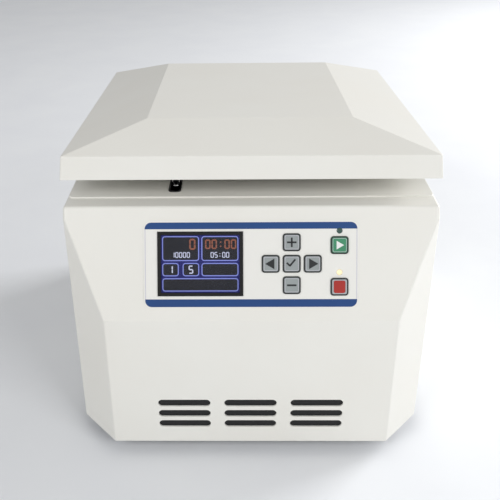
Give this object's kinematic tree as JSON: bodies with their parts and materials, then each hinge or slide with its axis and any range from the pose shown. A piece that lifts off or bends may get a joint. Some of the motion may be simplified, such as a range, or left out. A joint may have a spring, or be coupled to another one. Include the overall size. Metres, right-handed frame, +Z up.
{
  "type": "centrifuge",
  "caption": "Bench hematocrit centrifuge with a tilted control panel, a hinged hip-roofed lid standing ajar and a flat rotor for capillary tubes inside a round chamber",
  "frame": {"origin": "on the bench, under the centre of the whole instrument with its lid ajar", "axes": "+X to the right of a user who faces the control panel, +Y from the panel to the rear, +Z up"},
  "size_m": [0.324, 0.3972, 0.293],
  "materials": {
    "white_enamel": "satin off-white powder coat",
    "zinc_steel": "zinc-plated sheet",
    "stainless": "fine brushed stainless",
    "steel_screws": "plated steel",
    "black_rubber": "matt black moulded rubber",
    "motor_enamel": "dark grey enamel",
    "cast_aluminium": "fine turned aluminium",
    "stator_iron": "laminated iron with windings",
    "label_film": "white printed film with blue bars",
    "black_plastic": "fine grained black",
    "clear_window": "clear window",
    "display_dark": "dark blue backlit panel",
    "board_green": "green circuit board",
    "lamp_clear": "clear lamp lens",
    "brass_pins": "plated brass",
    "rocker_black": "gloss black",
    "bright_wire": "bright plated wire",
    "knob_black": "black moulded knob",
    "key_grey": "grey keypad film",
    "key_green": "green keypad film",
    "key_red": "red keypad film"
  },
  "bodies": {
    "cabinet": {"cowl": "white_enamel", "deck": "white_enamel", "base_plate": "zinc_steel", "rear_panel": "white_enamel", "feet": "black_rubber", "cabinet_screws": "steel_screws", "motor_shelf": "zinc_steel", "shelf_columns": "zinc_steel", "chamber_bowl": "stainless", "bowl_seal": "black_rubber", "chamber_gasket": "black_rubber", "guard_ring": "zinc_steel", "motor_dampers": "black_rubber", "motor_can": "motor_enamel", "motor_flange": "cast_aluminium", "motor_bearings": "steel_screws", "motor_stator": "stator_iron", "control_label": "label_film", "display_bezel": "black_plastic", "display_window": "clear_window", "display_module": "display_dark", "control_board": "board_green", "board_standoffs": "steel_screws", "key_switches": "black_plastic", "indicator_lamps": "lamp_clear", "latch_frame": "zinc_steel", "latch_bezel": "black_plastic", "latch_solenoid": "zinc_steel", "power_board": "board_green", "transformer": "stator_iron", "inlet_socket": "black_plastic", "inlet_pins": "brass_pins", "switch_housing": "black_plastic", "fan_frame": "black_plastic", "fan_guard": "bright_wire", "hinge_cabinet_leaves": "stainless", "pivot_pins": "steel_screws"},
    "lid": {"lid_shell": "white_enamel", "lid_liner": "white_enamel", "lid_screws": "steel_screws", "striker": "bright_wire", "hinge_lid_leaves": "stainless"},
    "rotor": {"motor_shaft": "steel_screws", "motor_armature": "stator_iron", "rotor_disc": "cast_aluminium", "rotor_cushion": "black_rubber", "rotor_cover": "cast_aluminium"},
    "nut_washer": {"knob_washer": "steel_screws"},
    "nut": {"rotor_knob": "knob_black"},
    "catch": {"latch_catch": "zinc_steel"},
    "plunger": {"latch_plunger": "steel_screws"},
    "rocker": {"switch_rocker": "rocker_black"},
    "impeller": {"fan_impeller": "black_plastic"},
    "key_plus": {"key_plus": "key_grey"},
    "key_minus": {"key_minus": "key_grey"},
    "key_left": {"key_left": "key_grey"},
    "key_right": {"key_right": "key_grey"},
    "key_enter": {"key_enter": "key_grey"},
    "key_start": {"key_start": "key_green"},
    "key_stop": {"key_stop": "key_red"}
  },
  "joints": [
    {"name": "lid_hinge", "type": "hinge", "parent": "cabinet", "child": "lid", "pos_m": [0, 0.1941, 0.2364], "axis": [-1, 0, 0], "range_deg": [-3.1, 67]},
    {"name": "rotor_spin", "type": "hinge", "parent": "cabinet", "child": "rotor", "pos_m": [0, 0.0184, 0.179], "axis": [0, 0, 1], "continuous": true},
    {"name": "nut_lift", "type": "slide", "parent": "rotor", "child": "nut_washer", "axis": [0, 0, 1], "range_m": [0, 0.0025]},
    {"name": "nut_turn", "type": "hinge", "parent": "nut_washer", "child": "nut", "pos_m": [0, 0.0184, 0.194], "axis": [0, 0, 1], "range_deg": [0, 720]},
    {"name": "catch_swing", "type": "hinge", "parent": "cabinet", "child": "catch", "pos_m": [-0.0664, -0.1056, 0.1937], "axis": [1, 0, 0], "range_deg": [0, 22]},
    {"name": "plunger_slide", "type": "slide", "parent": "cabinet", "child": "plunger", "axis": [0, 1, 0], "range_m": [0, 0.007]},
    {"name": "switch_rock", "type": "hinge", "parent": "cabinet", "child": "rocker", "pos_m": [-0.092, 0.1879, 0.114], "axis": [-1, 0, 0], "range_deg": [0, 16]},
    {"name": "fan_spin", "type": "hinge", "parent": "cabinet", "child": "impeller", "pos_m": [0.072, 0.175, 0.079], "axis": [0, 1, 0], "continuous": true},
    {"name": "key_plus_press", "type": "slide", "parent": "cabinet", "child": "key_plus", "axis": [0, 0.9025, -0.4307], "range_m": [0, 0.0008], "stiffness_N_per_m": 1500, "springref_m": -0.0005},
    {"name": "key_minus_press", "type": "slide", "parent": "cabinet", "child": "key_minus", "axis": [0, 0.9025, -0.4307], "range_m": [0, 0.0008], "stiffness_N_per_m": 1500, "springref_m": -0.0005},
    {"name": "key_left_press", "type": "slide", "parent": "cabinet", "child": "key_left", "axis": [0, 0.9025, -0.4307], "range_m": [0, 0.0008], "stiffness_N_per_m": 1500, "springref_m": -0.0005},
    {"name": "key_right_press", "type": "slide", "parent": "cabinet", "child": "key_right", "axis": [0, 0.9025, -0.4307], "range_m": [0, 0.0008], "stiffness_N_per_m": 1500, "springref_m": -0.0005},
    {"name": "key_enter_press", "type": "slide", "parent": "cabinet", "child": "key_enter", "axis": [0, 0.9025, -0.4307], "range_m": [0, 0.0008], "stiffness_N_per_m": 1500, "springref_m": -0.0005},
    {"name": "key_start_press", "type": "slide", "parent": "cabinet", "child": "key_start", "axis": [0, 0.9025, -0.4307], "range_m": [0, 0.0008], "stiffness_N_per_m": 1500, "springref_m": -0.0005},
    {"name": "key_stop_press", "type": "slide", "parent": "cabinet", "child": "key_stop", "axis": [0, 0.9025, -0.4307], "range_m": [0, 0.0008], "stiffness_N_per_m": 1500, "springref_m": -0.0005}
  ],
  "couplings": [
    {"joint": "nut_turn", "follows": "nut_lift", "rad_per_m": 5026.5},
    {"joint": "catch_swing", "follows": "plunger_slide", "rad_per_m": 54.853}
  ]
}
